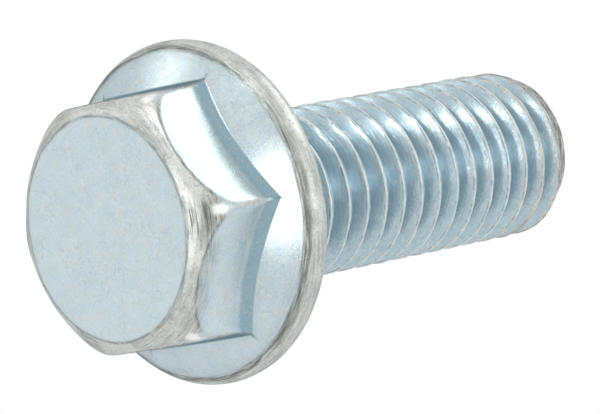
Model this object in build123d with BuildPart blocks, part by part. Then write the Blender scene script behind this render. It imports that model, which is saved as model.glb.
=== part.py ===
from build123d import *
import math
import os

os.makedirs("parts", exist_ok=True)

# A flange bolt: a forged hexagon head on a washer flange, and a shank with a rolled thread.
# Millimetres. The axis is Z and runs from the head to the tip of the thread.
# The origin is on the axis in the plane of the bearing face under the flange,
# so the shank is above Z = 0 and the head is below it. A corner of the hexagon is on +X.

# Thread M10, coarse pitch, right-hand
THREAD_DIAMETER = 9.75
PITCH = 1.5
LENGTH = 25.9
THREAD_ANGLE = 60.0
DEPTH_PER_PITCH = 0.6134
CREST_FLAT_PER_PITCH = 0.125
CREST_PHASE = 1.7

# Ends of the thread: a collar as wide as the bar before rolling, then the run-out, and a cone at the tip
COLLAR_LENGTH = 1.0
RUNOUT_LENGTH = 1.9
UNDERHEAD_RADIUS = 0.6
TIP_INSET = 0.92
TIP_LENGTH = 1.0

# Hexagon head, its height measured from the bearing face
ACROSS_FLATS = 13.73
HEAD_HEIGHT = 7.7
CORNER_EDGE_RADIUS = 0.45
BASE_FILLET = 0.8
TOP_DISC_INSET = 0.55
TOP_EDGE_ANGLE = 27.0
TOP_EDGE_DROP = 1.55

# Flange: a flat ring on the shank's side, a cone on the head's side, a rounded rim between them.
# The ledge is the width of the flange outside the corners of the hexagon.
FLANGE_LEDGE = 1.72
RIM_HEIGHT = 1.65
RIM_BEARING_INSET = 0.4
RIM_CONE_INSET = 0.42
CONE_ANGLE = 30.0

# Room left by the cuts: round the trimmed parts, past both ends of the bar, and past the groove's last turn
CLEARANCE = 1.0
SPARE_BAR = 3 * PITCH
GROOVE_OVERRUN = 0.3
MOUTH_RISE = CREST_FLAT_PER_PITCH / 4
CORE_SINK = 0.06 * PITCH

crest_flat = CREST_FLAT_PER_PITCH * PITCH
thread_depth = DEPTH_PER_PITCH * PITCH
flank_tan = math.tan(math.radians(THREAD_ANGLE / 2))
major_radius = THREAD_DIAMETER / 2
minor_radius = major_radius - thread_depth
collar_radius = (major_radius + minor_radius) / 2
tip_radius = major_radius - TIP_INSET

corner_radius = ACROSS_FLATS / math.sqrt(3)
disc_radius = ACROSS_FLATS / 2 - TOP_DISC_INSET
top_edge_tan = math.tan(math.radians(TOP_EDGE_ANGLE))
top_edge_base = -HEAD_HEIGHT + TOP_EDGE_DROP

flange_radius = corner_radius + FLANGE_LEDGE
bearing_radius = flange_radius - RIM_BEARING_INSET
cone_radius = flange_radius - RIM_CONE_INSET
cone_top = -RIM_HEIGHT - (cone_radius - collar_radius) * math.tan(math.radians(CONE_ANGLE))


# Outer form of the shank: the collar, the rise of the crests over half the run-out, and the tip
crest_rise = RUNOUT_LENGTH / 2 * CLEARANCE / (major_radius - collar_radius)
tip_fall = TIP_LENGTH * CLEARANCE / TIP_INSET
with BuildPart() as shank_outline:
    with BuildSketch(Plane.XZ):
        with BuildLine():
            Polyline(
                (0, -RIM_HEIGHT / 2),
                (collar_radius, -RIM_HEIGHT / 2),
                (collar_radius, COLLAR_LENGTH),
                (collar_radius + CLEARANCE, COLLAR_LENGTH + crest_rise),
                (major_radius + CLEARANCE, COLLAR_LENGTH + crest_rise),
                (major_radius + CLEARANCE, LENGTH - TIP_LENGTH - tip_fall),
                (tip_radius, LENGTH),
                (0, LENGTH),
                close=True,
            )
        make_face()
    revolve(axis=Axis.Z)

# Threaded shank: a helical groove cut in a longer bar, which is then trimmed to the outer form.
# The groove starts on +X, and the outer form is turned so that its seam is on the other side.
with BuildPart() as shank:
    with Locations((0, 0, -SPARE_BAR)):
        Cylinder(major_radius, LENGTH + 2 * SPARE_BAR, align=(Align.CENTER, Align.CENTER, Align.MIN))

    # The groove is wider at its mouth, and the mouth stands a little outside the bar
    groove_start = CREST_PHASE - PITCH - PITCH / 2
    groove_turns = math.ceil((LENGTH - groove_start) / PITCH) + GROOVE_OVERRUN
    mouth_margin = MOUTH_RISE * PITCH / flank_tan
    half_root = (PITCH - crest_flat) / 2 - thread_depth * flank_tan
    half_mouth = (PITCH - crest_flat) / 2 + mouth_margin * flank_tan
    with BuildLine() as lead:
        Helix(PITCH, groove_turns * PITCH, minor_radius, center=(0, 0, groove_start))
    with BuildSketch(Plane.XZ):
        with BuildLine():
            Polyline(
                (minor_radius, groove_start - half_root),
                (major_radius + mouth_margin, groove_start - half_mouth),
                (major_radius + mouth_margin, groove_start + half_mouth),
                (minor_radius, groove_start + half_root),
                close=True,
            )
        make_face()
    sweep(path=lead.line, is_frenet=True, mode=Mode.SUBTRACT)
    add(shank_outline.part, rotation=(0, 0, 180), mode=Mode.INTERSECT)

    # Run-out: the root of the groove rises to the collar
    core_radius = minor_radius - CORE_SINK
    with BuildSketch(Plane.XZ):
        with BuildLine():
            Polyline(
                (0, -RIM_HEIGHT / 2),
                (collar_radius, -RIM_HEIGHT / 2),
                (collar_radius, COLLAR_LENGTH),
                (core_radius, COLLAR_LENGTH + RUNOUT_LENGTH),
                (0, COLLAR_LENGTH + RUNOUT_LENGTH),
                close=True,
            )
        make_face()
    revolve(axis=Axis.Z)

# Hexagon: a prism whose free end is turned to a flat disc with a rounded edge that cuts the corners
with BuildPart() as hexagon:
    with BuildSketch(Plane.XY.offset(-HEAD_HEIGHT)):
        RegularPolygon(radius=corner_radius, side_count=6)
        fillet(vertices(), radius=CORNER_EDGE_RADIUS)
    extrude(amount=HEAD_HEIGHT - RIM_HEIGHT / 2)
    with BuildSketch(Plane.XZ):
        with BuildLine():
            Polyline(
                (corner_radius, top_edge_base),
                (corner_radius, 0),
                (0, 0),
                (0, -HEAD_HEIGHT),
                (disc_radius, -HEAD_HEIGHT),
            )
            TangentArc(
                (disc_radius, -HEAD_HEIGHT),
                (corner_radius, top_edge_base),
                tangent=(1, top_edge_tan),
            )
        make_face()
    revolve(axis=Axis.Z, mode=Mode.INTERSECT)

# The bolt: the turned flange with the hexagon on one side and the shank on the other,
# and a fillet round the foot of the hexagon
with BuildPart() as flange_bolt:
    with BuildSketch(Plane.XZ):
        with BuildLine():
            Polyline(
                (collar_radius, UNDERHEAD_RADIUS),
                (0, UNDERHEAD_RADIUS),
                (0, cone_top),
                (collar_radius, cone_top),
                (cone_radius, -RIM_HEIGHT),
            )
            ThreePointArc(
                (cone_radius, -RIM_HEIGHT),
                (flange_radius, -RIM_HEIGHT / 2),
                (bearing_radius, 0),
            )
            Line((bearing_radius, 0), (collar_radius + UNDERHEAD_RADIUS, 0))
            RadiusArc(
                (collar_radius + UNDERHEAD_RADIUS, 0),
                (collar_radius, UNDERHEAD_RADIUS),
                radius=UNDERHEAD_RADIUS,
            )
        make_face()
    revolve(axis=Axis.Z)
    add(hexagon.part)
    foot_edges = flange_bolt.edges().filter_by(
        lambda edge: edge.geom_type != GeomType.LINE
        and top_edge_base < edge.center().Z < -RIM_HEIGHT
        and math.hypot(edge.center().X, edge.center().Y) > collar_radius
    )
    fillet(foot_edges, radius=BASE_FILLET)
    add(shank.part)

flange_bolt.part.label = "flange_bolt"
export_step(flange_bolt.part, "parts/flange_bolt.step")
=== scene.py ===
"""Looks for a zinc-plated flange bolt: one surface from the head's end to the tip of the thread,
standing on its head on a pale floor."""

import math

import bmesh
import bpy
import numpy as np
from mathutils import Matrix, Vector


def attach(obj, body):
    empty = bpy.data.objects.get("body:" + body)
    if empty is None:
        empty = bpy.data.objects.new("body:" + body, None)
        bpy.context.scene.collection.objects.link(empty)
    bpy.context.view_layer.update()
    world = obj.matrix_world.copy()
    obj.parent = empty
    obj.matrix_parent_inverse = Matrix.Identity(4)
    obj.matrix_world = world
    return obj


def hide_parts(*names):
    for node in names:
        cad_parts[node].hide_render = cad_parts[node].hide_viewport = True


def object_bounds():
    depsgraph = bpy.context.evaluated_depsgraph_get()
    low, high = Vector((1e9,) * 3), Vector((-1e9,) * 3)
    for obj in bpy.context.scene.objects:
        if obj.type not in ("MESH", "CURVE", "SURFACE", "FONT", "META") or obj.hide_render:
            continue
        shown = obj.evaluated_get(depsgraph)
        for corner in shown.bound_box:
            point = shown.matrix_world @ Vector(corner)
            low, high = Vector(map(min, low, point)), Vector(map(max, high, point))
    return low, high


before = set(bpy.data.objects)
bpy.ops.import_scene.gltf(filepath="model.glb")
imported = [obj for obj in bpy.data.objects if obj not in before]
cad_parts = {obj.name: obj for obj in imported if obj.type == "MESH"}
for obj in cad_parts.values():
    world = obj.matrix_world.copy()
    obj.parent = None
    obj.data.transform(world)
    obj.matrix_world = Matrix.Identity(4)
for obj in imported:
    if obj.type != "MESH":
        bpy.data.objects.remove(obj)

cad_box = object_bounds()
low_corner, high_corner = (np.array(corner) for corner in cad_box)

MM = 0.001


def span(start, end):
    """A start and an end given in millimetres, as metres."""
    return start * MM, end * MM


# The bolt, in metres. Its axis is Z, with the bearing face of the flange at Z = 0,
# the head below it and the thread above. A corner of the hexagon is on +X.
HEAD_END = low_corner[2]
TIP_END = high_corner[2]
FLANGE_RADIUS = (high_corner[0] - low_corner[0]) / 2

# Hexagon head. A sector has a corner in its middle and half a flat on either side.
HALF_SECTOR = math.radians(30)
SECTOR = 2 * HALF_SECTOR
ACROSS_FLATS = 13.73 * MM
HALF_WIDTH = ACROSS_FLATS / 2
CORNER_ROUND = 0.4 * MM
END_CORNER_ROUND = 1.0 * MM
CREASE_ROUND = 0.12 * MM
CREASE_WIDTH = 0.05 * MM

# Cut edge between the disc and the flats
DISC_RADIUS = 6.2 * MM
EDGE_DROP = 1.5 * MM
EDGE_BOW = 0.3
EDGE_SWELL = 0.26 * MM
DISC_EDGE_ROUND = 0.5 * MM
EDGE_MIDDLE_ROUND = 0.2 * MM
SIDE_EDGE_ROUND = 0.13 * MM
CORNER_EDGE_ROUND = 0.95 * MM
LEAST_DISC_EDGE = 0.25
LEAST_EDGE_MIDDLE = 0.1

# Hollow foot of each flat, which ends in a crease on the cone
FOOT_FILLET = 3.0 * MM
FOOT_SWEEP = math.radians(23)
CREASE = HALF_WIDTH + FOOT_FILLET * (1 - math.cos(FOOT_SWEEP))
CREASE_CORNER = CREASE / math.cos(HALF_SECTOR)

# Flange
CONE_SLOPE = math.tan(math.radians(30))
RIM_HEIGHT = 1.65 * MM
RIM_CONE_INSET = 0.42 * MM
RIM_BEARING_INSET = 0.4 * MM
RIM_ROUND = 0.22 * MM
CONE_EDGE = FLANGE_RADIUS - RIM_CONE_INSET
UNDERHEAD_RADIUS = 0.6 * MM

# Points of the rim from the cone to the bearing face:
# inset from the flange's radius, share of the rim's height
RIM_POINTS = (
    (RIM_CONE_INSET, 1),
    (RIM_CONE_INSET * 0.2, 0.8),
    (0, 0.5),
    (RIM_BEARING_INSET * 0.25, 0.18),
    (RIM_BEARING_INSET, 0),
)

# Thread. Widths are shares of a pitch, and the rows of half a pitch run from a crest to a root.
PITCH = 1.5 * MM
CREST_AT = 1.7 * MM
CREST_RADIUS = 4.87 * MM
ROOT_DEPTH = 0.84 * MM
CREST_WIDTH = 0.06
ROOT_WIDTH = 0.29
FLANK_EASE = 0.15
HALF_PITCH_ROWS = (0, 0.02, 0.035, 0.055, 0.12, 0.19, 0.26, 0.325, 0.35, 0.37, 0.43, 0.5)
COLLAR_RADIUS = 4.415 * MM
COLLAR_END = 1.0 * MM
RUNOUT_END = 2.9 * MM
TIP_RADIUS = 3.95 * MM
TIP_CONE_SLOPE = 1.05
TIP_TAPER_LENGTH = 3.2 * MM
TIP_TAPER = 0.12 * MM

# Unevenness of the forged and rolled surface
SURFACE_SWELL = 0.02 * MM
SURFACE_SWELL_LENGTH = 0.9 * MM
SURFACE_SWELL_SEED = 3
CREST_WAVER = 0.05 * MM
CREST_WAVER_LENGTH = 0.2 * MM
CREST_WAVER_SEED = 5
CREST_WAVER_SPAN = span(-0.2, -0.03)
EVEN_CORE = 1 * MM
NICK_LENGTH = 0.3 * MM
NICK_SEED = 7
WAVES = 9

# How finely the surface is divided
SECTOR_COLUMNS = 30
CORNER_SPACING = 0.3
FOOT_ROWS = 12
UNDERHEAD_ROWS = 5
END_FACE_SHARES = (0.75, 0.5, 0.25, 0)
MERGE_DISTANCE = 0.0001 * MM
TINY = 1e-9

# Zones of the surface: heights between which a zone fades in or out
HEAD_ZONE = span(-1.4, -1.1)
FOOT_ZONE = span(-4.4, -3.8)
CORNER_WORN_FOOT = span(-3.2, -2.4)
THREAD_ZONE = span(0.2, 0.6)

# The same, measured from the head's end
END_ZONE = (EDGE_DROP * 0.9, EDGE_DROP * 1.3)
CORNER_WORN_TOP = span(0.3, 0.9)
CORNER_BARE_TOP = span(0.9, 1.2)
CORNER_BARE_FOOT = span(1.7, 2.1)

# The same, measured from the end of the tip
NEAR_TIP = span(-7, -1.5)
TIP_ZONE = span(-1.3, -0.8)
TIP_FACE = span(-0.1, 0)

# Fades of the marks, measured outwards from the disc's edge
CUT_WORN = span(-0.15, 0.25)
CUT_SCUFFED = span(0, 0.2)
CUT_LINED = span(0, 0.3)

# Inwards from the plane of a flat
CUT_SIDE_WORN = span(0, 0.06)
LEAST_CUT_WORN = 0.15

# Sideways from a corner of the hexagon, and outwards from half the width across flats
CORNER_WORN = span(0, 0.3)
CORNER_BARE = span(0.12, 0.4)
SPUR_WIDTH = span(0.02, 0.12)
CORNER_WORN_REACH = span(0, 0.4)
CORNER_BARE_REACH = span(0, 0.3)

# Outwards from the crease's corners, from the flats and from the crease
SPUR_START = span(-0.45, -0.2)
SPUR_END = span(0, 0.5)
HOLLOW_START = span(-0.005, 0.04)
HOLLOW_END = span(0, 0.06)
CONE_START = span(0, 0.2)

# Outwards from the cone's edge and from the end face's edge
RIM_WORN = span(-0.12, 0.1)
RIM_SCUFF_START = span(-0.04, 0.04)
RIM_SCUFF_END = span(0.2, 0.32)
BEVEL_WORN = span(-0.5, -0.1)

# Fine dark lines: distance outwards from the edge that each follows, and the fade from its middle
DISC_LINE_AT = 0.02 * MM
DISC_LINE = span(0.02, 0.14)
CUT_LINE_AT = -0.03 * MM
CUT_LINE = span(0, 0.05)
RIM_LINE_AT = 0.01 * MM
RIM_LINE = span(0.08, 0.26)

# How worn the cut edge, the upright corners and the tip are, from 0 to 1, what share of the tip's wear
# is left in the middle of its face, and how strong the dark line round the disc is
CUT_WEAR = 0.9
CORNER_WEAR = 0.7
TIP_WEAR = 0.8
TIP_FACE_WEAR = 0.35
DISC_LINE_STRENGTH = 0.8

# Crests: how worn, bare and scuffed they are along the thread, and what is added near the tip
# Pale worn and bare crests are partly a painted highlight
CREST_WEAR_AND_HIGHLIGHT = (0.5, 0.3)
CREST_BARE_AND_HIGHLIGHT = (0.45, -0.4)
CREST_SCUFF = (0, 0.6)

# How deep the crests are worn, as a share of the thread's depth: everywhere, and more in nicks and
# near the tip. A nick is where the crests' unevenness is past the fade of NICKS.
CREST_WORN_DEPTH = (0.05, 0.3, 0.45)
NICKS = (0.2, 0.5)

# Scuffed places on the cut edge of the disc and on the rim's inner edge, those on the rim partly painted
# shade:
# angle round the axis and half their width in degrees, strength
CUT_SCUFFS = (
    (63, 11, 1.0),
    (112, 10, 0.25),
    (3, 8, 0.35),
    (-58, 12, 0.4),
    (178, 10, 0.7),
    (-118, 12, 0.6),
)
# On the rim's inner edge the scuffs are partly painted shade
RIM_SCUFFS_AND_SHADE = ((28, 30, 0.45), (68, 24, 0.85), (105, 22, 0.45), (190, 40, 0.5), (-70, 25, 0.6))
SCUFF_CORE = 0.4

# Colours of the plating and of its rubbed edges, and of the painted shade and highlight laid over them
PLATING_BLUE = (0.47, 0.59, 0.64, 1)
PLATING_PALE = (0.54, 0.63, 0.66, 1)
PLATING_WARM = (0.56, 0.61, 0.59, 1)
# Dark teal painted as shade in the thread's roots and in the hollow feet of the flats
PAINTED_SHADE_TEAL = (0.24, 0.37, 0.43, 1)
# Blue of the thread, partly its rolled tint and partly painted shade
THREAD_TINT_AND_SHADE = (0.35, 0.47, 0.54, 1)
PLATING_SHEEN = (0.8, 0.86, 0.88, 1)
WORN_PALE = (0.64, 0.66, 0.63, 1)
WORN_GREY = (0.42, 0.44, 0.42, 1)
# Dark of specks, dragged streaks and lines, on the rim's inner edge partly painted shade
WORN_AND_SHADE_DARK = (0.13, 0.13, 0.11, 1)
# Palest grey of bare places, on the crests partly a painted highlight
BARE_AND_HIGHLIGHT_PALE = (0.86, 0.88, 0.86, 1)
GRAZING_TINT = (0.65, 0.68, 0.7, 1)

# Patterns of the plating: changes in a millimetre, layers of detail, roughness of the layers, distortion
BLOTCH = (0.8, 6, 0.7, 0.6)
CLOUD = (1.7, 6, 0.65)
GRAIN = (8.0, 4, 0.7)
SPECK = (6.0, 5, 0.7)
SPARSE = (0.5, 3, 0.5)
HAIR = (1.1, 5, 0.6, 1.2)

# Patterns wound round the axis: how fast they change in a turn and in a millimetre, and their lean.
# Below each way stand the scale on it, layers of detail, roughness of the layers and distortion.
BRUSHED_WAY = (6.0, 6.0)
BRUSHED = (1.0, 5, 0.65, 0.3)
RAYS_WAY = (2.6, 0.15)
RAYS = (1.0, 3, 0.5)
DRAGGED_WAY = (3.0, 9.0, 0.4)
DRAGGED = (1.0, 4, 0.75, 0.2)

# How a pattern shows: two of its values, and how strongly it shows at each of them if that isn't 0 and 1.
# Single numbers are a level or a strength. First those of the plating.
PALE_PATCHES = (0.4, 0.62)
WARM_CLOUDS = (0.42, 0.68, 0, 0.8)
WARM_SPECKS = (0.5, 0.7, 0, 0.5)
# Pale rays on the flange's cone, a painted sheen
CONE_SHEEN_RAYS = (0.52, 0.68, 0, 0.15)
DARK_GRAIN = (0.3, 0.45, 0.4, 0)
BRIGHT_GRAIN = (0.55, 0.7, 0, 0.35)
HAIR_LEVEL = 0.5
HAIR_LINES = (0, 0.014, 1, 0)
HAIR_PLACES = (0.44, 0.54)
HAIR_STRENGTH = 0.8
# Strength of the dark teal painted as shade in the hollow feet of the flats
HOLLOW_SHADE_STRENGTH = 0.92

# In the thread, where GROOVE and the painted shade of the roots are for its depth
GROOVE = (0, 0.2)
ROLLED_STREAKS = (0.35, 0.6, 0.2, 0.65)
ROLLED_CLOUDS = (0.4, 0.6, 0, 0.35)
ROOT_SHADE = (0.4, 1, 0, 0.15)

# Where it is rubbed: the clouds' range and how it shifts the edge, the edge's fade, the patterns of the grey
CLOUD_RANGE = (0.3, 0.7)
CLOUD_SHIFT = (-0.4, 0.3)
RUBBED_EDGE = (0.2, 0.7)
LEAST_RUBBED = (0, 0.25)
GREY_STREAKS = (0.4, 0.6)
GREY_PLACES = (0.46, 0.56)
GREY_GRAIN = (0.38, 0.52, 0.5, 0)
DARK_SPECKS = (0.34, 0.44, 0.45, 0)
DRAGGED_STREAKS = (0.4, 0.58, 0.95, 0)

# Dark lines: where they break off, and the depth in the thread of those beside the crests
EDGE_LINE_BREAKS = (0.4, 0.62, 1, 0.25)
CREST_LINE_BREAKS = (0.42, 0.54, 1, 0.05)
CREST_LINE_AT = 0.09
CREST_LINE = (0.01, 0.05, 0.7, 0)
LINE_STRENGTH = 0.9

# Roughness of the plating from its smoothest to its roughest place, what rubbing adds and rolling takes
PLATING_ROUGHNESS = (0.22, 0.34)
RUBBED_ROUGHNESS = 0.14
ROLLED_SMOOTHNESS = 0.06

# Relief of the patterns: strength and depth
CLOUD_RELIEF = (0.35, 0.02 * MM)
GRAIN_RELIEF = (0.4, 0.01 * MM)
ROLLED_RELIEF = (0.4, 0.02 * MM)
THREAD_SPECK_RELIEF = (0.5, 0.01 * MM)
RUBBED_RELIEF = (0.5, 0.025 * MM)

# Floor
FLOOR_SIZE = 0.6
FLOOR_GAP = 0.02 * MM
FLOOR_WHITE = (0.86, 0.86, 0.86, 1)
FLOOR_ROUGHNESS = 0.9

# Lamps: name, place, point faced, width and height, direction of the width, brightness
LAMPS = (
    ("key", (0.14, 0.004, 0.142), (0, 0, 0), (0.1, 0.05), (0, 1, 0), 3.0),
    ("side_key", (0.094, 0.17, 0.046), (0, 0, 0), (0.09, 0.05), (17, -9, 0), 2.0),
    ("side_fill", (-0.074, 0.12, 0.142), (0, 0, 0), (0.12, 0.12), (1, 0, 0), 0.12),
    ("top_fill", (0.057, -0.158, -0.0865), (0, 0, 0), (0.045, 0.05), (1, 0, 0), 1.3),
    ("low_strip", (0.0105, 0.019, -0.06), (0.006, 0.007, 0), (0.036, 0.013), (-28, 17, 0), 3.9),
    ("low_spot", (0.0192, -0.0005, -0.01), (0.0042, 0.0024, 0.02), (0.0045, 0.007), (1, 0, 0), 6.0),
    ("end_fill", (-0.074, -0.12, -0.142), (0, 0, 0), (0.15, 0.15), (1, 0, 0), 0.1),
)

# Camera at the photograph's viewing angle, its turn in degrees, its lens and sensor in millimetres
CAMERA_PLACE = (90.93 * MM, 154.64 * MM, -172.98 * MM)
CAMERA_TURN = (169.165, -43.803, 74.74)
CAMERA_LENS = 270
CAMERA_SENSOR = 36
CAMERA_NEAREST = 0.01


def column_angles():
    """Angles round the axis for one full turn, which starts in the middle of a flat, a sector at a time.
    The angle from a sector's corner is half a sector times c u + (1 - c) u cubed, with u from -1 to 1
    and c CORNER_SPACING, so columns crowd at the corners. The last column closes the turn."""
    steps = np.linspace(-1, 1, SECTOR_COLUMNS + 1)[:-1]
    spread = HALF_SECTOR * (CORNER_SPACING * steps + (1 - CORNER_SPACING) * steps**3)
    corners = np.arange(6)[:, None] * SECTOR
    return np.concatenate([(corners + spread[None, :]).ravel(), [6 * SECTOR - HALF_SECTOR]])


def turn_from_corner(angle):
    """Angle from the nearest corner of the hexagon, from minus half a sector to half a sector."""
    return (angle + HALF_SECTOR) % SECTOR - HALF_SECTOR


ANGLES = column_angles()
FROM_CORNER = turn_from_corner(ANGLES)
FROM_FLAT = HALF_SECTOR - np.abs(FROM_CORNER)


def smooth_step(fade, value):
    """0 before a fade's start, 1 past its end, and 3 t squared - 2 t cubed of the share t between them."""
    start, end = fade
    share = np.clip((value - start) / (end - start), 0, 1)
    return share * share * (3 - 2 * share)


def hexagon_radius(half_width, corner_round):
    """Distance from the axis to a hexagon of that half width across flats, at each column.
    On a flat it is half_width over the cosine of the angle from the flat's middle.
    At a corner it is an arc of corner_round, whose centre lies on the corner's line
    at half_width - corner_round over the cosine of half a sector."""
    centre = (half_width - corner_round) / math.cos(HALF_SECTOR)
    tangent = math.atan2(corner_round / 2, centre + corner_round * math.cos(HALF_SECTOR))
    flat = half_width / np.cos(FROM_FLAT)
    across = np.minimum(np.abs(centre * np.sin(FROM_CORNER)), corner_round)
    arc = centre * np.cos(FROM_CORNER) + np.sqrt(corner_round**2 - across**2)
    return np.where(np.abs(FROM_CORNER) < tangent, arc, flat)


def straight(start, end, count):
    """Rows on the straight way from one row to another, without the first and with the last."""
    return [start + (end - start) * share for share in np.linspace(0, 1, count + 1)[1:]]


def bend(start, point, end, count):
    """Rows on the quadratic curve from start to end that is drawn towards point, without the first."""
    shares = np.linspace(0, 1, count + 1)[1:]
    return [start * (1 - u) ** 2 + 2 * u * (1 - u) * point + end * u**2 for u in shares]


def rounded_path(points, rounds, straight_rows, bend_rows):
    """Rows of (radius, height) along a path of points given for each column. Each inner point becomes
    a quadratic curve from one round's length before the point to one after it."""
    rows = [points[0]]
    for before, point, after, size in zip(points, points[1:], points[2:], rounds):
        back, ahead = before - point, after - point
        back = back / np.maximum(np.linalg.norm(back, axis=0), TINY)
        ahead = ahead / np.maximum(np.linalg.norm(ahead, axis=0), TINY)
        start, end = point + back * size, point + ahead * size
        rows += straight(rows[-1], start, straight_rows)
        rows += bend(start, point, end, bend_rows)
    rows += straight(rows[-1], points[-1], straight_rows)
    return rows


def level(radius, height):
    """One row at a radius and a height, each of them one number or one for each column."""
    shape = ANGLES.shape
    return np.array([np.broadcast_to(radius, shape), np.broadcast_to(height, shape)], float)


def cone_height(radius):
    """Height of the flange's cone at a radius: minus RIM_HEIGHT at its edge, and lower by CONE_SLOPE times
    the distance inwards from there."""
    return -RIM_HEIGHT - (CONE_EDGE - radius) * CONE_SLOPE


def foot_row(share):
    """A row of the hollow foot of the flats, share 0 where it leaves them and 1 on the flange's cone.
    In the plane square to a flat it is an arc of FOOT_FILLET that leaves the flat upright, turns by
    FOOT_SWEEP and meets the cone in a crease. Every row is a hexagon, so two hollows meet in a mitre."""
    sweep = share * FOOT_SWEEP
    out = HALF_WIDTH + FOOT_FILLET * (1 - math.cos(sweep))
    corner_round = CORNER_ROUND + (CREASE_ROUND - CORNER_ROUND) * share
    rise = FOOT_FILLET * (math.sin(FOOT_SWEEP) - math.sin(sweep))
    return level(hexagon_radius(out, corner_round), cone_height(CREASE / np.cos(FROM_FLAT)) - rise)


def hexagon_rows():
    """Rows from the middle of the head's end to the crease on the cone: a flat disc, a bowed edge that cuts
    the corners deeper than the flats, the flats and their hollow feet. The edge falls by EDGE_DROP times
    r + EDGE_BOW r (r - 1), where r is 0 at the disc and 1 at a corner."""
    side = hexagon_radius(HALF_WIDTH, END_CORNER_ROUND)
    reach = (side - DISC_RADIUS) / (side.max() - DISC_RADIUS)
    edge_fall = EDGE_DROP * (reach + EDGE_BOW * reach * (reach - 1))
    disc = level(DISC_RADIUS, HEAD_END)
    edge = level(side, HEAD_END + edge_fall)
    middle = (disc + edge) / 2
    middle[1] -= EDGE_SWELL * reach**2
    rounds = [
        DISC_EDGE_ROUND * np.clip(reach, LEAST_DISC_EDGE, 1),
        EDGE_MIDDLE_ROUND * np.clip(reach, LEAST_EDGE_MIDDLE, 1),
        SIDE_EDGE_ROUND + (CORNER_EDGE_ROUND - SIDE_EDGE_ROUND) * reach**4,
    ]
    path = [level(0, HEAD_END), disc, middle, edge, foot_row(0)]
    end = rounded_path(path, rounds, straight_rows=5, bend_rows=8)
    return end + [foot_row(share) for share in np.linspace(0, 1, FOOT_ROWS + 1)[1:]]


def flange_rows(crease):
    """Rows from the crease to the foot of the thread: the cone, the rim, the flat bearing face
    and the quarter of a circle under the head."""
    cone_start = crease[0] + CREASE_WIDTH
    path = [level(cone_start, cone_height(cone_start))]
    path += [level(FLANGE_RADIUS - inset, -RIM_HEIGHT * share) for inset, share in RIM_POINTS]
    path += [level(COLLAR_RADIUS + UNDERHEAD_RADIUS, 0)]
    flange = rounded_path(path, [RIM_ROUND] * len(RIM_POINTS), straight_rows=3, bend_rows=4)
    underhead = [
        level(
            COLLAR_RADIUS + UNDERHEAD_RADIUS * (1 - math.sin(turn)),
            UNDERHEAD_RADIUS * (1 - math.cos(turn)),
        )
        for turn in np.linspace(0, math.pi / 2, UNDERHEAD_ROWS + 1)[1:]
    ]
    return flange + underhead


def thread_radius(angle, height):
    """Radius of the thread's surface. The share of a pitch from the nearest crest, 0 to a half, falls
    from the crest's width to the root's width, mostly in a straight line and a little in a smooth step.
    Near the head the crests fall to the collar over half of the run-out, and the root rises to it over
    all of it. At the tip the crests taper and then meet a cone."""
    share = ((height - CREST_AT) / PITCH - angle / (2 * math.pi)) % 1.0
    share = np.minimum(share, 1 - share)
    fall = np.clip((share - CREST_WIDTH / 2) / (0.5 - CREST_WIDTH / 2 - ROOT_WIDTH / 2), 0, 1)
    eased = fall * fall * (3 - 2 * fall)
    fall = (1 - FLANK_EASE) * fall + FLANK_EASE * eased
    grown = np.clip((height - COLLAR_END) / (RUNOUT_END - COLLAR_END), 0, 1)
    crest = COLLAR_RADIUS + (CREST_RADIUS - COLLAR_RADIUS) * np.clip(2 * grown, 0, 1)
    root = COLLAR_RADIUS + (CREST_RADIUS - ROOT_DEPTH - COLLAR_RADIUS) * grown
    taper = np.clip((height - TIP_END + TIP_TAPER_LENGTH) / TIP_TAPER_LENGTH, 0, 1)
    crest = crest - TIP_TAPER * taper**2
    cone = TIP_RADIUS + TIP_CONE_SLOPE * (TIP_END - height)
    return np.minimum(crest - (crest - root) * fall, cone)


def thread_grid():
    """Points of the thread on rows that climb one pitch a turn, so each row keeps its place on the form.
    Rows lie at HALF_PITCH_ROWS shares of a pitch from each crest, both ways, closer at its edges.
    Heights past the two ends are held at them, and the doubled points there are merged later."""
    other_half = 1 - np.array(HALF_PITCH_ROWS[1:])
    shares = np.unique(np.concatenate([HALF_PITCH_ROWS, other_half]))[:-1]
    pitches = np.arange(-3, int(TIP_END / PITCH) + 2)
    base = CREST_AT + PITCH * (pitches[:, None] + shares[None, :] + ANGLES[0] / (2 * math.pi)).ravel()
    first = UNDERHEAD_RADIUS - PITCH
    base = np.concatenate([[first], base[(base > first) & (base < TIP_END)], [TIP_END]])
    turns = (ANGLES - ANGLES[0]) / (2 * math.pi)
    height = np.clip(base[:, None] + PITCH * turns[None, :], UNDERHEAD_RADIUS, TIP_END)
    return np.stack([thread_radius(ANGLES[None, :], height), height], axis=1)


def ripple(points, size, length, seed):
    """A smooth unevenness at each point: size times the mean of sine waves of mixed lengths and directions,
    drawn with a fixed seed."""
    chance = np.random.default_rng(seed)
    waves = chance.normal(size=(WAVES, 3)) / length
    phases = chance.uniform(0, 2 * math.pi, WAVES)
    return size * np.sin(points @ waves.T + phases).mean(axis=1)


def scuffed(angle, scuffs):
    """Strength of the listed scuffs at each angle: whole over the core of the half width, then falling to 0
    at its end."""
    strength = np.zeros_like(angle)
    for middle, half, most in scuffs:
        away = np.abs((np.degrees(angle) - middle + 180) % 360 - 180)
        strength = np.maximum(strength, most * (1 - smooth_step((half * SCUFF_CORE, half), away)))
    return strength


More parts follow.
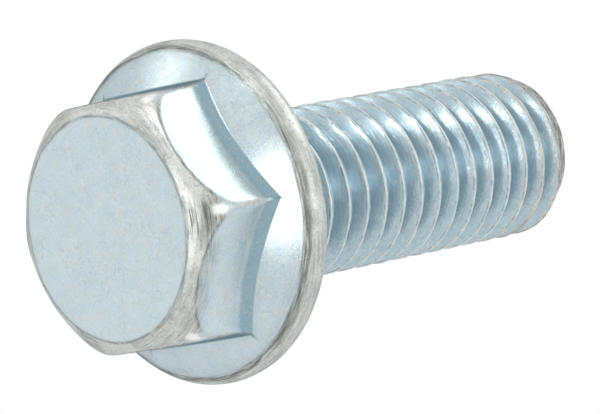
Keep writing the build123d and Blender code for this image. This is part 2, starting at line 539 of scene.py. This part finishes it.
class Places:
    """Where each point of the surface lies. from_corner is how far round it is from the nearest corner of
    the hexagon, and across is its distance from the axis, measured square to the nearest flat."""

    def __init__(self, points):
        self.radius, self.height = np.hypot(points[:, 0], points[:, 1]), points[:, 2]
        self.angle = np.arctan2(points[:, 1], points[:, 0])
        turn = np.abs(turn_from_corner(self.angle))
        self.from_corner = turn * self.radius
        self.across = self.radius * np.cos(HALF_SECTOR - turn)
        self.from_head_end = self.height - HEAD_END
        self.from_tip_end = self.height - TIP_END
        self.on_end = 1 - smooth_step(END_ZONE, self.from_head_end)
        self.on_head = 1 - smooth_step(HEAD_ZONE, self.height)
        self.on_thread = smooth_step(THREAD_ZONE, self.height)


def head_marks(at):
    """Worn: the rim, the cut edge of the disc and the upright corners. Scuff: the dragged places of the cut
    edge and the rim, on the rim's inner edge partly painted shade. Bare: the rubbed tops of the corners."""
    rim = smooth_step(RIM_WORN, at.radius - CONE_EDGE)
    cut = smooth_step(CUT_WORN, at.radius - DISC_RADIUS) * at.on_end
    cut *= smooth_step(CUT_SIDE_WORN, HALF_WIDTH - at.across) + LEAST_CUT_WORN
    upright = 1 - smooth_step(CORNER_WORN, at.from_corner)
    upright *= smooth_step(CORNER_WORN_TOP, at.from_head_end)
    upright *= 1 - smooth_step(CORNER_WORN_FOOT, at.height)
    upright *= smooth_step(CORNER_WORN_REACH, at.radius - HALF_WIDTH)

    cut_scuff = scuffed(at.angle, CUT_SCUFFS) * at.on_end
    cut_scuff *= smooth_step(CUT_SCUFFED, at.radius - DISC_RADIUS)
    # On the rim's inner edge the dragged places are partly painted shade
    rim_scuff = scuffed(at.angle, RIM_SCUFFS_AND_SHADE) * at.on_head
    rim_scuff *= smooth_step(RIM_SCUFF_START, at.radius - CONE_EDGE)
    rim_scuff *= 1 - smooth_step(RIM_SCUFF_END, at.radius - CONE_EDGE)

    bare_and_highlight = 1 - smooth_step(CORNER_BARE, at.from_corner)
    bare_and_highlight *= smooth_step(CORNER_BARE_TOP, at.from_head_end)
    bare_and_highlight *= 1 - smooth_step(CORNER_BARE_FOOT, at.from_head_end)
    bare_and_highlight *= smooth_step(CORNER_BARE_REACH, at.radius - HALF_WIDTH)
    worn = np.max([rim, CUT_WEAR * cut, CORNER_WEAR * upright], axis=0)
    return {"worn": worn, "scuff": np.maximum(cut_scuff, rim_scuff), "bare_and_highlight": bare_and_highlight}


def thread_marks(at, points):
    """Depth: how deep a point lies in the thread, from 0 on its crest to 1 in its root, and 0 on the tip.
    Worn: the crests, wider where they are nicked and near the tip, and the tip. Scuff: the dragged places
    of both. Bare: the rubbed tops of the crests, less near the tip. Worn and bare crests are partly a
    painted highlight."""
    depth = np.clip((CREST_RADIUS - at.radius) / ROOT_DEPTH, 0, 1) * at.on_thread
    near_tip = smooth_step(NEAR_TIP, at.from_tip_end)
    nicks = smooth_step(NICKS, ripple(points, 1, NICK_LENGTH, NICK_SEED))
    least, in_nick, at_tip = CREST_WORN_DEPTH
    crest = 1 - smooth_step((0, least + in_nick * nicks + at_tip * near_tip), depth)
    crest *= at.on_thread
    # Pale worn and bare crests are partly a painted highlight
    wear_and_highlight, bare_and_highlight, scuff = (along + more * near_tip for along, more in (CREST_WEAR_AND_HIGHLIGHT, CREST_BARE_AND_HIGHLIGHT, CREST_SCUFF))
    tip = smooth_step(TIP_ZONE, at.from_tip_end)
    bevel = TIP_FACE_WEAR + (1 - TIP_FACE_WEAR) * smooth_step(BEVEL_WORN, at.radius - TIP_RADIUS)
    tip_scuff = tip * (1 - smooth_step(TIP_FACE, at.from_tip_end))
    return {
        "worn": np.maximum(wear_and_highlight * crest, TIP_WEAR * tip * bevel),
        "scuff": np.maximum(tip_scuff, scuff * crest),
        "bare_and_highlight": bare_and_highlight * crest,
        "depth": depth * (1 - tip),
    }


def dark_lines(at):
    """The fine dark lines on the edge of the disc, between the cut edge and the flats, inside the rim,
    and the short spurs where the crease turns a corner."""
    disc_line = 1 - smooth_step(DISC_LINE, np.abs(at.radius - DISC_RADIUS - DISC_LINE_AT))
    cut_line = 1 - smooth_step(CUT_LINE, np.abs(at.across - HALF_WIDTH - CUT_LINE_AT))
    cut_line *= smooth_step(CUT_LINED, at.radius - DISC_RADIUS)
    rim_line = 1 - smooth_step(RIM_LINE, np.abs(at.radius - CONE_EDGE - RIM_LINE_AT))
    spur = 1 - smooth_step(SPUR_WIDTH, at.from_corner)
    spur *= smooth_step(SPUR_START, at.radius - CREASE_CORNER)
    spur *= 1 - smooth_step(SPUR_END, at.radius - CREASE_CORNER)
    on_end = np.maximum(DISC_LINE_STRENGTH * disc_line, cut_line) * at.on_end
    return np.maximum(on_end, np.maximum(rim_line, spur) * at.on_head)


def surface_marks(points):
    """How each point of the surface is marked, from 0 to 1: worn, scuff, bare and depth as head_marks and
    thread_marks say, with painted shade in the scuffs of the rim and a painted highlight in the bare crests,
    line for dark lines, painted shade in the hollow feet of the flats and cone on the flange's cone."""
    at = Places(points)
    head, thread = head_marks(at), thread_marks(at, points)
    marks = {name: np.maximum(head[name], thread[name]) for name in ("worn", "scuff", "bare_and_highlight")}
    marks["depth"] = thread["depth"]
    marks["line"] = dark_lines(at)

    # Painted shade in the hollow feet of the flats, from where they leave the flats to the crease
    painted_hollow_shade = smooth_step(HOLLOW_START, at.across - HALF_WIDTH)
    painted_hollow_shade *= 1 - smooth_step(HOLLOW_END, at.across - CREASE)
    marks["painted_hollow_shade"] = painted_hollow_shade * smooth_step(FOOT_ZONE, at.height) * at.on_head
    rim = smooth_step(RIM_WORN, at.radius - CONE_EDGE)
    # The flange's cone, where pale rays are painted as sheen
    marks["cone"] = smooth_step(CONE_START, at.across - CREASE) * (1 - rim) * at.on_head
    return marks


def uneven(points, radius):
    """Points moved outwards or inwards by the surface's swell and, on the crests, by their waver.
    The core round the axis stays as it is."""
    outward = points * [1, 1, 0]
    from_axis = np.linalg.norm(outward, axis=1, keepdims=True)
    outward /= np.maximum(from_axis, TINY)
    swell = ripple(points, SURFACE_SWELL, SURFACE_SWELL_LENGTH, SURFACE_SWELL_SEED)
    on_crest = smooth_step(CREST_WAVER_SPAN, radius - CREST_RADIUS) * (points[:, 2] > COLLAR_END)
    swell += ripple(points, CREST_WAVER, CREST_WAVER_LENGTH, CREST_WAVER_SEED) * on_crest
    return points + outward * swell[:, None] * (from_axis > EVEN_CORE)


def bolt_mesh():
    """Joins the rows of the head and the flange, the thread's grid and the end face into one closed mesh.
    A point lies at its row's radius on its column's angle, and four neighbours make a face."""
    hexagon = hexagon_rows()
    thread = thread_grid()
    end_face = [thread[-1] * np.array([[share], [1]]) for share in END_FACE_SHARES]
    rows = np.concatenate([np.array(hexagon + flange_rows(hexagon[-1])), thread, end_face])
    radius, height = rows[:, 0], rows[:, 1]
    points = np.stack([radius * np.cos(ANGLES), radius * np.sin(ANGLES), height], axis=2)
    points = uneven(points.reshape(-1, 3), radius.ravel())

    columns = len(ANGLES)
    row, column = np.meshgrid(np.arange(len(rows) - 1), np.arange(columns - 1), indexing="ij")
    first = (row * columns + column).ravel()
    quads = np.stack([first, first + 1, first + columns + 1, first + columns], axis=1)

    mesh = bpy.data.meshes.new("bolt")
    mesh.from_pydata(points.tolist(), [], quads.tolist())
    shape = bmesh.new()
    shape.from_mesh(mesh)
    bmesh.ops.remove_doubles(shape, verts=shape.verts, dist=MERGE_DISTANCE)
    bmesh.ops.dissolve_degenerate(shape, dist=MERGE_DISTANCE, edges=shape.edges)
    bmesh.ops.recalc_face_normals(shape, faces=shape.faces)
    shape.to_mesh(mesh)
    shape.free()
    mesh.shade_smooth()
    return mesh


def mark_surface(mesh):
    """Stores the marks of the surface as attributes of the mesh's points."""
    places = np.empty(len(mesh.vertices) * 3)
    mesh.vertices.foreach_get("co", places)
    for name, values in surface_marks(places.reshape(-1, 3)).items():
        attribute = mesh.attributes.new(name, "FLOAT", "POINT")
        attribute.data.foreach_set("value", values.astype(np.float32))


class Nodes:
    """Short calls that add nodes to one material and link them."""

    def __init__(self, name):
        self.material = bpy.data.materials.new(name)
        self.material.use_nodes = True
        self.tree = self.material.node_tree
        self.shader = self.tree.nodes["Principled BSDF"]

    def link(self, source, target):
        """Links an output to an input."""
        self.tree.links.new(source, target)

    def set(self, socket, value):
        """Links a socket to another node's output, or gives it a constant."""
        if isinstance(value, bpy.types.NodeSocket):
            self.link(value, socket)
        else:
            socket.default_value = value

    def place(self):
        """The object's own coordinates in millimetres."""
        node = self.tree.nodes.new("ShaderNodeMapping")
        node.inputs["Scale"].default_value = (1 / MM, 1 / MM, 1 / MM)
        self.link(self.tree.nodes.new("ShaderNodeTexCoord").outputs["Object"], node.inputs["Vector"])
        return node.outputs["Vector"]

    def wound(self, place, around, out, lean=1.0):
        """Coordinates for patterns on a turned form: around is how fast they change in a turn,
        out how fast in a millimetre of height and, times lean, of radius."""
        flat = self.vector("MULTIPLY", place, (1, 1, 0))
        radius = self.vector("LENGTH", flat, (0, 0, 0))
        height = self.tree.nodes.new("ShaderNodeSeparateXYZ")
        self.link(place, height.inputs[0])
        lift = self.tree.nodes.new("ShaderNodeCombineXYZ")
        along = self.math("ADD", self.times(radius, lean), height.outputs["Z"])
        self.link(self.times(along, out), lift.inputs["Z"])
        way = self.vector("MULTIPLY", self.vector("NORMALIZE", flat, (0, 0, 0)), (around, around, 0))
        return self.vector("ADD", way, lift.outputs["Vector"])

    def vector(self, operation, first, second):
        """An operation on two vectors."""
        node = self.tree.nodes.new("ShaderNodeVectorMath")
        node.operation = operation
        self.set(node.inputs[0], first)
        self.set(node.inputs[1], second)
        return node.outputs["Value" if operation == "LENGTH" else "Vector"]

    def mark(self, name):
        """A mark of the surface, stored on the mesh under that name."""
        node = self.tree.nodes.new("ShaderNodeAttribute")
        node.attribute_name = name
        return node.outputs["Fac"]

    def noise(self, place, scale, detail, roughness, distortion=0.0):
        """Noise at a place, mostly between 0.3 and 0.7."""
        node = self.tree.nodes.new("ShaderNodeTexNoise")
        self.link(place, node.inputs["Vector"])
        node.inputs["Scale"].default_value = scale
        node.inputs["Detail"].default_value = detail
        node.inputs["Roughness"].default_value = roughness
        node.inputs["Distortion"].default_value = distortion
        return node.outputs["Fac"]

    def spread(self, value, low, high, to_low=0.0, to_high=1.0):
        """Maps low..high to to_low..to_high, held at the ends."""
        node = self.tree.nodes.new("ShaderNodeMapRange")
        self.link(value, node.inputs["Value"])
        for name, number in zip(("From Min", "From Max", "To Min", "To Max"), (low, high, to_low, to_high)):
            node.inputs[name].default_value = number
        return node.outputs["Result"]

    def math(self, operation, first, second):
        """An operation on two numbers."""
        node = self.tree.nodes.new("ShaderNodeMath")
        node.operation = operation
        self.set(node.inputs[0], first)
        self.set(node.inputs[1], second)
        return node.outputs[0]

    def times(self, first, second):
        """The product of two numbers."""
        return self.math("MULTIPLY", first, second)

    def distance(self, value, middle):
        """How far a value is from a middle, either way."""
        return self.math("ABSOLUTE", self.math("SUBTRACT", value, middle), 0)

    def mix(self, share, first, second):
        """The first colour at share 0 and the second at share 1."""
        node = self.tree.nodes.new("ShaderNodeMix")
        node.data_type = "RGBA"
        self.set(node.inputs["Factor"], share)
        self.set(node.inputs[6], first)
        self.set(node.inputs[7], second)
        return node.outputs[2]

    def bump(self, height, strength, distance, normal=None):
        """Relief from a height, laid over the relief of an earlier normal."""
        node = self.tree.nodes.new("ShaderNodeBump")
        node.inputs["Strength"].default_value = strength
        node.inputs["Distance"].default_value = distance
        self.link(height, node.inputs["Height"])
        if normal:
            self.link(normal, node.inputs["Normal"])
        return node.outputs["Normal"]


class ZincPlating(Nodes):
    """Bright zinc with a blue passivation, rubbed to a warm pale grey on its edges."""

    def __init__(self):
        super().__init__("zinc_plating")
        place = self.place()
        self.blotch = self.noise(place, *BLOTCH)
        self.cloud = self.noise(place, *CLOUD)
        self.grain = self.noise(place, *GRAIN)
        self.speck = self.noise(place, *SPECK)
        self.sparse = self.noise(place, *SPARSE)
        self.brushed = self.noise(self.wound(place, *BRUSHED_WAY), *BRUSHED)
        self.sheen_rays = self.noise(self.wound(place, *RAYS_WAY), *RAYS)
        self.dragged = self.noise(self.wound(place, *DRAGGED_WAY), *DRAGGED)
        self.worn, self.scuff, self.bare_and_highlight = self.mark("worn"), self.mark("scuff"), self.mark("bare_and_highlight")
        self.line, self.painted_hollow_shade = self.mark("line"), self.mark("painted_hollow_shade")
        self.cone, self.depth = self.mark("cone"), self.mark("depth")
        self.groove = self.spread(self.depth, *GROOVE)

        hair = self.spread(self.distance(self.noise(place, *HAIR), HAIR_LEVEL), *HAIR_LINES)
        self.hair = self.times(hair, self.spread(self.sparse, *HAIR_PLACES))
        rubbed = self.math("ADD", self.worn, self.spread(self.cloud, *CLOUD_RANGE, *CLOUD_SHIFT))
        self.rubbed = self.times(self.spread(rubbed, *RUBBED_EDGE), self.spread(self.worn, *LEAST_RUBBED))

    def plated_colour(self):
        """Two tints in soft blotches with warmer clouds and specks, soft pale rays on the flange's cone that
        are a painted sheen, a darker blue in the thread that is partly painted shade, dark teal painted as
        shade in the thread's roots and the hollows, a fine grain and a few hairlines."""
        colour = self.mix(self.spread(self.blotch, *PALE_PATCHES), PLATING_BLUE, PLATING_PALE)
        colour = self.mix(self.spread(self.cloud, *WARM_CLOUDS), colour, PLATING_WARM)
        colour = self.mix(self.spread(self.speck, *WARM_SPECKS), colour, PLATING_WARM)
        # Pale rays on the flange's cone, a painted sheen
        sheen_rays = self.times(self.cone, self.spread(self.sheen_rays, *CONE_SHEEN_RAYS))
        colour = self.mix(sheen_rays, colour, PLATING_SHEEN)
        # A darker blue in the thread, partly the rolled tint and partly painted shade
        streaks = self.spread(self.brushed, *ROLLED_STREAKS)
        rolled_tint_and_shade = self.math("ADD", streaks, self.spread(self.cloud, *ROLLED_CLOUDS))
        colour = self.mix(self.times(self.groove, rolled_tint_and_shade), colour, THREAD_TINT_AND_SHADE)
        # Painted shade: darker teal deep in the thread's roots
        colour = self.mix(self.spread(self.depth, *ROOT_SHADE), colour, PAINTED_SHADE_TEAL)
        # Painted shade in the hollow feet of the flats
        colour = self.mix(self.times(self.painted_hollow_shade, HOLLOW_SHADE_STRENGTH), colour, PAINTED_SHADE_TEAL)
        colour = self.mix(self.spread(self.grain, *DARK_GRAIN), colour, WORN_GREY)
        colour = self.mix(self.spread(self.grain, *BRIGHT_GRAIN), colour, PLATING_SHEEN)
        return self.mix(self.times(self.hair, HAIR_STRENGTH), colour, WORN_GREY)

    def rubbed_colour(self):
        """A warm pale grey brushed round the axis in places, with dark specks and dragged streaks, which on
        the rim's inner edge are partly painted shade, and the palest grey where it is bare, which on the
        crests is partly a painted highlight."""
        streaks = self.spread(self.brushed, *GREY_STREAKS)
        streaks = self.math("MAXIMUM", streaks, self.spread(self.sparse, *GREY_PLACES))
        colour = self.mix(streaks, WORN_GREY, WORN_PALE)
        colour = self.mix(self.spread(self.grain, *GREY_GRAIN), colour, WORN_GREY)
        colour = self.mix(self.spread(self.speck, *DARK_SPECKS), colour, WORN_AND_SHADE_DARK)
        # Dark dragged streaks, on the rim's inner edge partly painted shade
        dragged = self.times(self.scuff, self.spread(self.dragged, *DRAGGED_STREAKS))
        colour = self.mix(dragged, colour, WORN_AND_SHADE_DARK)
        # Palest grey where bare, on the crests partly a painted highlight
        return self.mix(self.bare_and_highlight, colour, BARE_AND_HIGHLIGHT_PALE)

    def broken_lines(self):
        """The fine dark lines of the surface and those beside the crests, which come and go."""
        edges = self.times(self.line, self.spread(self.brushed, *EDGE_LINE_BREAKS))
        crests = self.spread(self.distance(self.depth, CREST_LINE_AT), *CREST_LINE)
        crests = self.times(crests, self.spread(self.cloud, *CREST_LINE_BREAKS))
        return self.times(self.math("MAXIMUM", edges, crests), LINE_STRENGTH)

    def roughness(self):
        """Uneven with the clouds, rougher where it is rubbed and smoother in the thread."""
        rough = self.spread(self.cloud, *CLOUD_RANGE, *PLATING_ROUGHNESS)
        rough = self.math("ADD", rough, self.times(self.rubbed, RUBBED_ROUGHNESS))
        return self.math("SUBTRACT", rough, self.spread(self.depth, *GROOVE, 0, ROLLED_SMOOTHNESS))

    def relief(self):
        """Clouds and grain everywhere, brushing and specks in the thread, specks where it is rubbed."""
        normal = self.bump(self.cloud, *CLOUD_RELIEF)
        normal = self.bump(self.grain, *GRAIN_RELIEF, normal)
        normal = self.bump(self.times(self.brushed, self.groove), *ROLLED_RELIEF, normal)
        normal = self.bump(self.times(self.speck, self.groove), *THREAD_SPECK_RELIEF, normal)
        return self.bump(self.times(self.speck, self.rubbed), *RUBBED_RELIEF, normal)


def zinc_plating():
    """The plating where it is whole and the rubbed grey where it is worn, with dark lines over both."""
    zinc = ZincPlating()
    colour = zinc.mix(zinc.rubbed, zinc.plated_colour(), zinc.rubbed_colour())
    colour = zinc.mix(zinc.broken_lines(), colour, WORN_AND_SHADE_DARK)
    zinc.link(colour, zinc.shader.inputs["Base Color"])
    zinc.shader.inputs["Metallic"].default_value = 1.0
    zinc.shader.inputs["Specular Tint"].default_value = GRAZING_TINT
    zinc.link(zinc.roughness(), zinc.shader.inputs["Roughness"])
    zinc.link(zinc.relief(), zinc.shader.inputs["Normal"])
    return zinc.material


def floor_paper():
    """Matt white paper that shows only its upper side."""
    nodes = Nodes("floor_paper")
    nodes.shader.inputs["Base Color"].default_value = FLOOR_WHITE
    nodes.shader.inputs["Roughness"].default_value = FLOOR_ROUGHNESS
    clear = nodes.tree.nodes.new("ShaderNodeBsdfTransparent")
    side = nodes.tree.nodes.new("ShaderNodeNewGeometry")
    mix = nodes.tree.nodes.new("ShaderNodeMixShader")
    nodes.link(side.outputs["Backfacing"], mix.inputs["Fac"])
    nodes.link(nodes.shader.outputs["BSDF"], mix.inputs[1])
    nodes.link(clear.outputs["BSDF"], mix.inputs[2])
    nodes.link(mix.outputs["Shader"], nodes.tree.nodes["Material Output"].inputs["Surface"])
    return nodes.material


def paper_floor():
    """A floor just under the head's end. The camera sees it, but it doesn't light or shade the bolt and
    isn't mirrored in it."""
    bpy.ops.mesh.primitive_plane_add(size=FLOOR_SIZE, location=(0, 0, HEAD_END - FLOOR_GAP))
    floor = bpy.context.object
    floor.name = "floor"
    floor.visible_glossy = False
    floor.visible_diffuse = False
    floor.visible_transmission = False
    floor.visible_shadow = False
    floor.data.materials.append(floor_paper())
    return floor


def soft_lamp(name, place, towards, size, width_along, brightness):
    """A rectangular lamp at a place, facing a point, as bright as white paper times its brightness."""
    data = bpy.data.lights.new(name, "AREA")
    data.shape = "RECTANGLE"
    data.size, data.size_y = size
    data.energy = brightness * math.pi * size[0] * size[1]
    back = (Vector(place) - Vector(towards)).normalized()
    up = back.cross(Vector(width_along)).normalized()
    lamp = bpy.data.objects.new(name, data)
    lamp.location = place
    lamp.rotation_euler = Matrix((up.cross(back), up, back)).transposed().to_euler()
    lamp.visible_camera = False
    bpy.context.scene.collection.objects.link(lamp)


def white_surroundings():
    """A plain white world."""
    world = bpy.data.worlds.new("studio")
    bpy.context.scene.world = world
    world.use_nodes = True
    background = world.node_tree.nodes["Background"]
    background.inputs["Color"].default_value = (1, 1, 1, 1)
    background.inputs["Strength"].default_value = 1.0


def photograph_camera():
    """The camera that sees the bolt as the photograph does."""
    data = bpy.data.cameras.new("camera")
    data.lens = CAMERA_LENS
    data.sensor_width = CAMERA_SENSOR
    data.clip_start = CAMERA_NEAREST
    camera = bpy.data.objects.new("camera", data)
    camera.location = CAMERA_PLACE
    camera.rotation_euler = [math.radians(turn) for turn in CAMERA_TURN]
    bpy.context.scene.collection.objects.link(camera)
    bpy.context.scene.camera = camera


bolt = bpy.data.objects.new("bolt", bolt_mesh())
mark_surface(bolt.data)
bpy.context.scene.collection.objects.link(bolt)
bolt.data.materials.append(zinc_plating())
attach(bolt, "root")
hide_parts("flange_bolt")

floor = paper_floor()

white_surroundings()
for lamp in LAMPS:
    soft_lamp(*lamp)
photograph_camera()
bpy.context.scene.view_settings.view_transform = "Standard"
